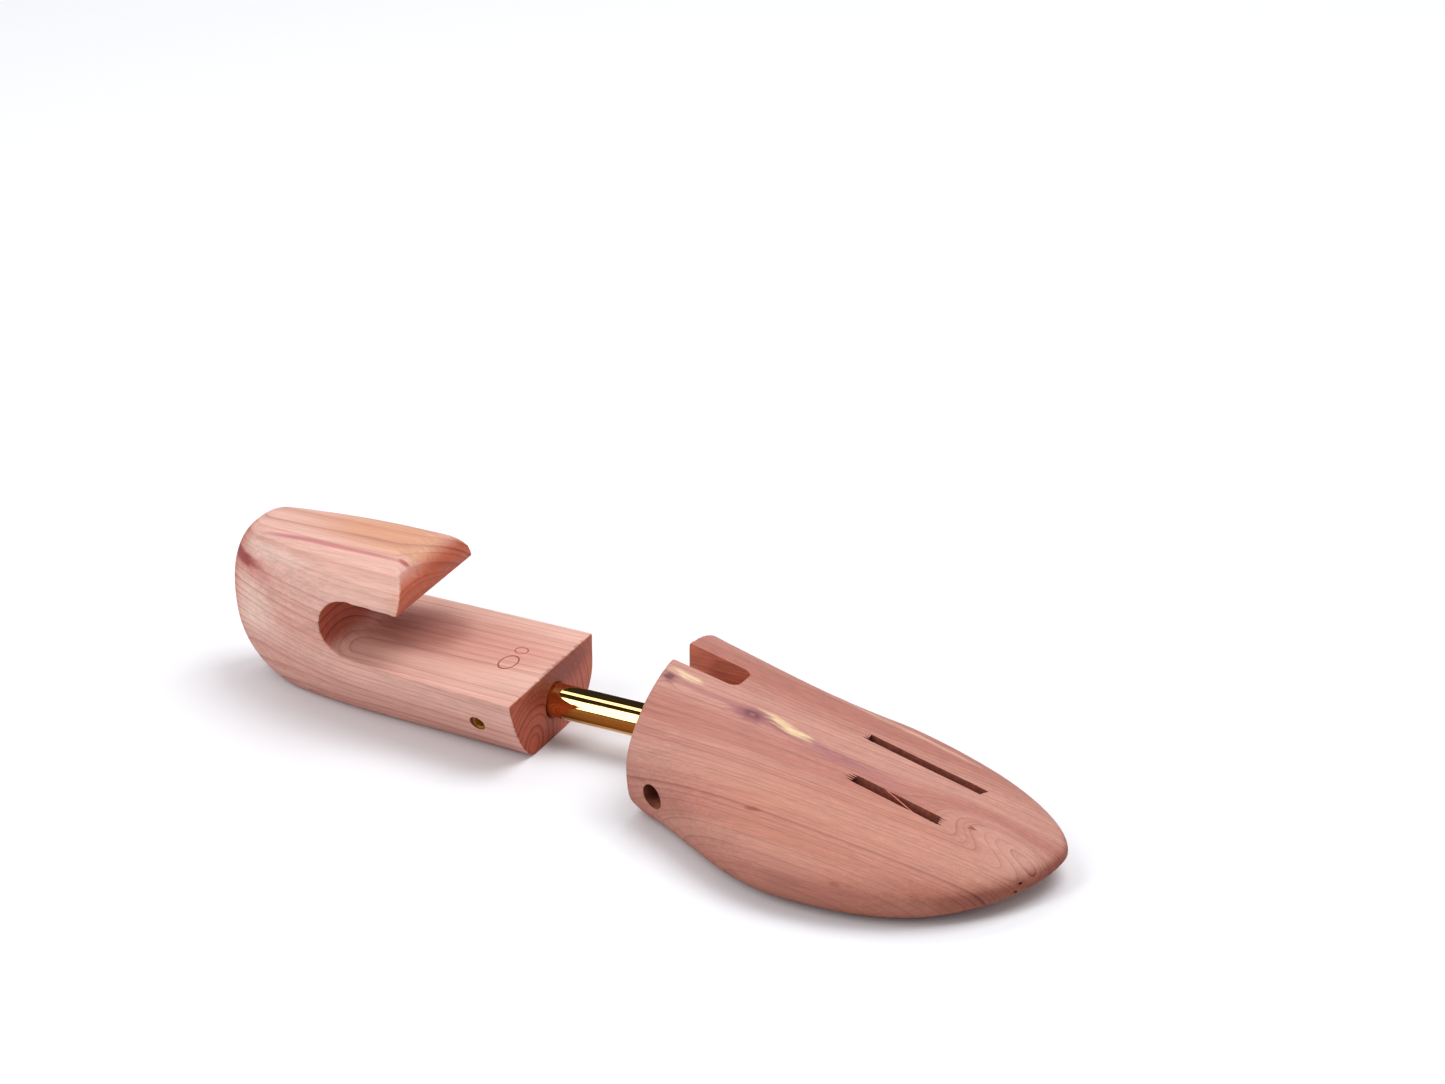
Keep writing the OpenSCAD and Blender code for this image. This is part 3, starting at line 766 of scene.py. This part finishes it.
def cedar(name, piece, pith, pith_turn, ring_mm, waver_mm, year_lines, tones, spots, swirls, end_tone):
    """tones are light, middle and line; a spot is (centre, radii, turn, tone, strength, raggedness);
    a swirl is (centre, radii, turn, push), where push is how far it bends the rings."""
    material, tree, shader = new_material(name, Roughness=0.58, IOR=1.5)
    place = add(tree, "ShaderNodeTexCoord").outputs["Object"]
    light, middle, line = (colour(tone) for tone in tones)
    moved = wander(tree, place, 30, [waver_mm] * 3, 0.16)
    rings = growth_rings(tree, moved, pith, pith_turn, ring_mm, swirls)
    line_amount = latewood(tree, rings, *year_lines)
    # End grain drinks in the light and shows darker and browner, and its rings stand out.
    end = add(tree, "ShaderNodeAttribute", attribute_name="end_grain").outputs["Fac"]
    end = add(tree, "ShaderNodeMapRange", {"Value": end, "From Min": 0.42, "From Max": 0.9,
                                           "To Max": 0.9}, interpolation_type="SMOOTHSTEP").outputs[0]
    clearer = add(tree, "ShaderNodeMath", {0: end, 1: 1.5, 2: 1.0}, operation="MULTIPLY_ADD")
    line_amount = add(tree, "ShaderNodeMath", {0: line_amount, 1: clearer.outputs[0]},
                      operation="MULTIPLY", use_clamp=True).outputs[0]
    # Broad bands of paler and pinker wood, each many rings wide.
    bands = add(tree, "ShaderNodeTexNoise", {"W": rings, "Scale": 0.11, "Detail": 2.0},
                noise_dimensions="1D")
    bands = add(tree, "ShaderNodeMapRange", {"Value": bands.outputs["Fac"], "From Min": 0.35,
                                             "From Max": 0.65})
    base = add(tree, "ShaderNodeMix", {"Factor": bands.outputs[0], "A": light, "B": middle},
               data_type="RGBA")
    base = base.outputs["Result"]
    # Spots: each is an ellipsoid with a ragged edge that follows the fibres; a few are painted shade.
    for centre, radii, turn_of, tone, strength, ragged in spots:
        shifted = wander(tree, place, 1.6, (10 * ragged, ragged, ragged), 0.05)
        amount = add(tree, "ShaderNodeMapRange",
                     {"Value": bubble(tree, shifted, centre, radii, turn_of), "From Max": 0.6,
                      "To Max": strength}, interpolation_type="SMOOTHSTEP")
        base = add(tree, "ShaderNodeMix", {"Factor": amount.outputs[0], "A": base, "B": colour(tone)},
                   data_type="RGBA").outputs["Result"]
    base = add(tree, "ShaderNodeMix", {"Factor": line_amount, "A": base, "B": line},
               data_type="RGBA").outputs["Result"]
    # Fibres and broader streaks along the grain, and the short flecks of the rays across it. Real fibres
    # are too fine to show, so they are drawn half a millimetre wide.
    fibre = streaks(tree, moved, 0.5, 0.03, 5.0, *FIBRE_RANGE)
    for tone in (fibre, streaks(tree, moved, 2.2, 0.025, 4.0, 0.87, 1.09),
                 streaks(tree, place, 0.35, 2.2, 2.0, 0.94, 1.06)):
        base = add(tree, "ShaderNodeVectorMath", {0: base, "Scale": tone}, operation="SCALE").outputs[0]
    dark = add(tree, "ShaderNodeMix", {"Factor": end, "A": base, "B": colour(end_tone)},
               data_type="RGBA", blend_type="MULTIPLY")
    tree.links.new(dark.outputs["Result"], shader.inputs["Base Color"])
    # Latewood is harder, so sanding leaves it a hair proud, and the fibres vary in height and in gloss.
    height = add(tree, "ShaderNodeMath", {0: line_amount, 1: 0.12, 2: fibre}, operation="MULTIPLY_ADD")
    bump = add(tree, "ShaderNodeBump", {"Height": height.outputs[0], "Strength": 0.5,
                                        "Distance": 0.15 * MM})
    tree.links.new(bump.outputs["Normal"], shader.inputs["Normal"])
    gloss = add(tree, "ShaderNodeMapRange", {"Value": fibre, "From Min": FIBRE_RANGE[0],
                                             "From Max": FIBRE_RANGE[1], "To Min": 0.5, "To Max": 0.68})
    tree.links.new(gloss.outputs[0], shader.inputs["Roughness"])
    mark_end_grain(piece)
    piece.data.materials[0] = material
    print(name, "has", len(tree.nodes), "nodes")


# %% Where the knots, streaks, swirls and painted shade lie
HEEL_TONES_AND_SHADE = [
    ((-172, -8, 30), (34, 26, 15), (0, 0, 0), "EFD3C4", 0.55, 2.0),          # paler at the back
    ((-158, -16, 52), (26, 9, 3), (0, 0, 0), "E9CFC2", 0.4, 1.2),
    ((-166, -12, 44.8), (28, 16, 5), (0, 2, 0), "C56F6C", 0.45, 1.6),        # red streak at the back
    ((-172, -11, 46), (17, 13, 3.4), (0, 3, 0), "9C3836", 0.95, 1.2),
    ((-133, -10.5, 57.3), (44, 1.3, 3), (0, 0.5, -1), "B05A68", 0.7, 0.5),   # magenta line by the crown
    ((-107, -10, 56.5), (3.2, 1.5, 3), (0, 0, 0), "A03A40", 0.85, 0.4),
    ((-114, 3, 57), (46, 16, 7), (0, 0, 0), "C98A5C", 0.6, 2.5),             # orange heartwood on top
    ((-101, -4, 49), (7, 34, 10), (0, 0, 0), "C98560", 0.5, 2.0),            # and browner on the nose
    ((-57.4, 3, 22), (1.6, 32, 9), (0, 0, 0), "8A5238", 0.7, 0.4),           # painted shade at the top of the front end face
    ((-88, 3, 26), (34, 24, 9), (0, 0, 0), "BC7C6C", 0.45, 2.0),             # darker wood on the open step
    # painted shade in the finger slot, under the handle
    ((-109, 4, 25), (20, 22, 6), (0, 0, 0), "8A4B40", 0.55, 2.0),
]
TOE_TONES_AND_SHADE = [
    ((74, -48, 20), (78, 30, 24), (0, 6, 0), "B87252", 0.4, 2.5),             # orange heartwood
    ((82, -62, 6), (70, 32, 13), (0, 0, 0), "9C5642", 0.5, 2.5),              # darker wood and painted shade low under the ball
    ((7, -15, 39), (22, 2.2, 5), (0, 9, -4), "95535A", 0.4, 1.2),             # purple between the knots
    ((25, -16, 35), (19, 4.2, 7), (0, 10, -3), "95535A", 0.45, 1.8),
    ((46, -18.2, 31), (22, 2.6, 6), (0, 10.5, -3), "905060", 0.45, 2.2),     # and its bloom past them
    ((58, -20, 28.8), (26, 4.5, 6), (0, 10.5, -3), "A0606A", 0.3, 2.6),
    ((-3.6, -11, 40.8), (8.5, 1.9, 4), (0, 9, -5), "E3C5A0", 0.85, 1.0),      # cream sapwood by each knot
    ((33.5, -14.8, 33), (12, 2.7, 4), (0, 11, -16), "E5C79C", 0.92, 1.2),
    ((-8.5, -13.8, 40.5), (5.2, 3.2, 5), (0, 0, 0), "94575C", 0.75, 0.8),     # knots, each with a rim
    ((-8.5, -13.8, 40.5), (2.4, 1.8, 3), (0, 0, 0), "6B3638", 0.85, 0.3),
    ((21.9, -16.1, 35.3), (9, 4.2, 7), (0, 0, 0), "8F5058", 0.75, 0.9),
    ((21.9, -16.1, 35.3), (4.2, 2.4, 5), (0, 0, 0), "6F3C42", 0.85, 0.4),
    ((21.9, -16.1, 35.3), (1.5, 1.0, 3), (0, 0, 0), "A5625C", 0.7, 0.2),
    ((39.2, -52.6, 24.5), (3.4, 1.2, 1.2), (0, 0, 0), "9C4432", 0.85, 1.2),   # small resin flecks
    ((101.7, -26.5, 20.1), (2.6, 1.0, 1.0), (0, 0, 0), "8F3D2C", 0.9, 0.9),
    ((73, -65.4, 13.5), (2.8, 1.1, 1.1), (0, 0, 0), "A3503C", 0.65, 1.0),
    ((62, 15, 25), (55, 2.4, 3), (0, 8.5, -9), "E2B9A0", 0.55, 1.2),          # pale line by the far edge
]
HEEL_SWIRLS = [((-150, -14, 7), (48, 9, 8), (0, 0, -5), 4)]
TOE_SWIRLS = [((112, -24, 16), (42, 13, 12), (0, 13, -8), -13),    # the nested loops near the tip
              ((-8.5, -13.8, 40.5), (9, 5, 9), (0, 0, 0), -2.5),   # rings that bow round the knots
              ((21.9, -16.1, 35.3), (14, 5, 9), (0, 0, 0), -3)]
cedar("red_cedar_heel", heel_block, pith=(-57.5, -15, 4), pith_turn=(0, -0.8, 0), ring_mm=2.3,
      waver_mm=0.9, year_lines=(0.15, 0.65), tones=("DBB1A3", "CF988B", "9E564C"), spots=HEEL_TONES_AND_SHADE,
      swirls=HEEL_SWIRLS, end_tone="DD8250")
cedar("red_cedar_toe", toe_block, pith=(60, -175, -100), pith_turn=(0, 4, -3), ring_mm=1.6,
      waver_mm=1.6, year_lines=(0.22, 0.65), tones=("C0897A", "B27265", "85453D"), spots=TOE_TONES_AND_SHADE,
      swirls=TOE_SWIRLS, end_tone="C99A86")

# %% [markdown]
# ### Sawn, routed, bored and scorched cedar
# A cutter leaves torn fibres that catch no light along the grain, so these walls are darker and redder
# than sanded wood, with fine scratches in the direction that the tool moved. The hot iron's mark is the
# same wood charred to a reddish brown.

# %% Cut cedar
def cut_cedar(name, tone, stretch, roughness):
    """A stretch below 1 draws the tool's scratches out along that axis."""
    _, tree, shader = new_material(name, Roughness=roughness, IOR=1.5)
    place = add(tree, "ShaderNodeTexCoord").outputs["Object"]
    drawn = add(tree, "ShaderNodeVectorMath", {0: place, 1: stretch}, operation="MULTIPLY")
    scratches = add(tree, "ShaderNodeTexNoise", {"Vector": drawn.outputs[0], "Scale": per_metre(0.5),
                                                 "Detail": 4.0}).outputs["Fac"]
    contrast = add(tree, "ShaderNodeMapRange", {"Value": scratches, "From Min": 0.3, "From Max": 0.7,
                                                "To Min": 0.7, "To Max": 1.25})
    base = add(tree, "ShaderNodeVectorMath", {0: colour(tone)[:3], "Scale": contrast.outputs[0]},
               operation="SCALE")
    tree.links.new(base.outputs[0], shader.inputs["Base Color"])
    bump = add(tree, "ShaderNodeBump", {"Height": scratches, "Strength": 0.6, "Distance": 0.2 * MM})
    tree.links.new(bump.outputs["Normal"], shader.inputs["Normal"])
    print(name, "has", len(tree.nodes), "nodes")


cut_cedar("sawn_cedar", "9A5545", stretch=(0.3, 1, 0.3), roughness=0.75)
cut_cedar("routed_cedar", "BD6850", stretch=(0.06, 1, 0.6), roughness=0.65)
cut_cedar("bored_cedar", "9A5A44", stretch=(0.3, 0.3, 0.3), roughness=0.75)
cut_cedar("scorched_cedar", "9C4836", stretch=(1, 1, 1), roughness=0.8)

# %% [markdown]
# ### Brass plating, roll-pin brass and spring steel
# Bright brass plating over polished steel is a near mirror, so almost all that the eye sees in it is
# the room: the softboxes as hard pale bands and the unlit studio as dark ones. It only needs the right
# tint, a low roughness and the faint drawing lines that polishing never quite removes. Those lines are
# really finer than hair, and are drawn coarse enough to show. The rolled strip and the zinc-plated pin
# are duller, with lines along their length, and the spring is plain grey drawn wire.

# %% Metals
def drawn_metal(name, tint, roughness, line_mm, line_depth, direction=(0.01, 1, 1)):
    """direction is below 1 along the axis that the drawing lines follow."""
    material, tree, shader = new_material(name, Metallic=1.0, Roughness=roughness,
                                          Base_Color=colour(tint))
    place = add(tree, "ShaderNodeTexCoord").outputs["Object"]
    stretched = add(tree, "ShaderNodeVectorMath", {0: place, 1: direction}, operation="MULTIPLY")
    lines = add(tree, "ShaderNodeTexNoise", {"Vector": stretched.outputs[0],
                                             "Scale": per_metre(line_mm), "Detail": 3.0})
    bump = add(tree, "ShaderNodeBump", {"Height": lines.outputs["Fac"], "Strength": line_depth,
                                        "Distance": 0.01 * MM})
    tree.links.new(bump.outputs["Normal"], shader.inputs["Normal"])
    wear = add(tree, "ShaderNodeTexNoise", {"Vector": place, "Scale": per_metre(6), "Detail": 4.0})
    haze = add(tree, "ShaderNodeMapRange", {"Value": wear.outputs["Fac"], "From Min": 0.35,
                                            "From Max": 0.75, "To Min": roughness * 0.7,
                                            "To Max": roughness * 1.8})
    tree.links.new(haze.outputs["Result"], shader.inputs["Roughness"])
    print(name, "has", len(tree.nodes), "nodes")
    return material


ALONG_PINS = (1, 0.02, 1)
dress(tube, drawn_metal("bright_brass_plate", "F5C07A", roughness=0.05, line_mm=0.5, line_depth=0.12))
dress(heel_pin, drawn_metal("rolled_brass_strip", "FBE39A", roughness=0.24, line_mm=0.3,
                            line_depth=0.4, direction=ALONG_PINS))
dress(hinge_pin, drawn_metal("zinc_plated_steel", "B9BCC0", roughness=0.3, line_mm=0.3,
                             line_depth=0.3, direction=ALONG_PINS))
dress(spring, drawn_metal("spring_wire", "A7A9AC", roughness=0.28, line_mm=0.2, line_depth=0.3))

# %% [markdown]
# ## What each piece rides on
# The toe block holds the hinge pin and stays put. The tube turns on that pin, and the heel block slides
# along the tube with its own pin and spring.

# %% Riders and the CAD nodes that they stand for
for piece, node_name, body, slot in (
        (toe_block, "toe_block", "toe", "toe_cedar"), (hinge_pin, "hinge_pin", "toe", "pin_steel"),
        (tube, "tube", "tube_body", "polished_brass"), (heel_block, "heel_block", "heel", "heel_cedar"),
        (heel_pin, "heel_pin", "heel", "pin_brass")):
    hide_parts(node_name)
    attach(piece, body)
    print(piece.name, "rides on", body)

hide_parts("spring")
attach(spring, "heel")
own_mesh(spring)

# %% [markdown]
# ## Studio
# A white table under three softboxes: a narrow upright strip in front and to the left, a long flat strip
# behind and to the left, and a large square one overhead, which is the strongest. A white dome gives the
# wood its soft fill. Polished brass shows whatever surrounds it, so reflections see that dome as nearly
# dark, as an unlit studio is, and a brown card lies in front where only reflections can see it.

# %% Table, softboxes and dome
bpy.ops.object.select_all(action="DESELECT")
bpy.ops.mesh.primitive_plane_add(size=12)
table = bpy.context.object
table.name = "table"
# Matt white paper, a touch cool: it scatters evenly and shows no gloss.
dress(table, new_material("white_paper", Roughness=0.9, Base_Color=colour("E6E7EB"))[0])


LIT_POINT = Vector((-0.025, -0.01, 0.02))   # where the softboxes aim
DOME_LIGHT, DOME_GLOSS = 0.52, 0.03         # what the dome gives matt wood, and what brass sees of it


def softbox(name, direction, distance, width, height, strength):
    box = bpy.data.lights.new(name, "AREA")
    box.shape = "RECTANGLE"
    box.size, box.size_y, box.energy = width, height, strength
    lamp = bpy.data.objects.new(name, box)
    scene.collection.objects.link(lamp)
    towards = Vector(direction).normalized()
    lamp.location = LIT_POINT + distance * towards
    lamp.rotation_euler = towards.to_track_quat("Z", "Y").to_euler()
    print(name, "gives", strength, "W from", [round(v, 2) for v in lamp.location])


softbox("front_strip", (-0.398, -0.703, 0.59), distance=1.3, width=0.35, height=1.5, strength=7.6)
softbox("rear_strip", (-0.398, 0.46, 0.79), distance=1.3, width=1.3, height=0.28, strength=3.5)
softbox("overhead", (0.3, 0.3, 1), distance=1.6, width=1.1, height=1.1, strength=17)

world = bpy.data.worlds.new("studio")
scene.world = world
world.use_nodes = True
air = world.node_tree
path = add(air, "ShaderNodeLightPath")
dome = air.nodes["Background"]
dim = add(air, "ShaderNodeMapRange", {"Value": path.outputs["Is Glossy Ray"], "To Min": DOME_LIGHT,
                                      "To Max": DOME_GLOSS})
air.links.new(dim.outputs["Result"], dome.inputs["Strength"])
dome.inputs["Color"].default_value = (1, 1, 1, 1)

bpy.ops.mesh.primitive_plane_add(size=1)
card = bpy.context.object
card.name = "brown_card"
card.scale = (3, 1.4, 1)
card.location = (-0.2, -0.706, 0.6 * MM)
for hidden_from in ("camera", "diffuse", "shadow", "transmission", "volume_scatter"):
    setattr(card, "visible_" + hidden_from, False)
# Matt brown cardboard: its warm tone is the amber band low on the tube.
dress(card, new_material("brown_card", Base_Color=colour("7E5A34"), Roughness=0.9)[0])

scene.view_settings.view_transform = "Standard"
scene.view_settings.look = "None"
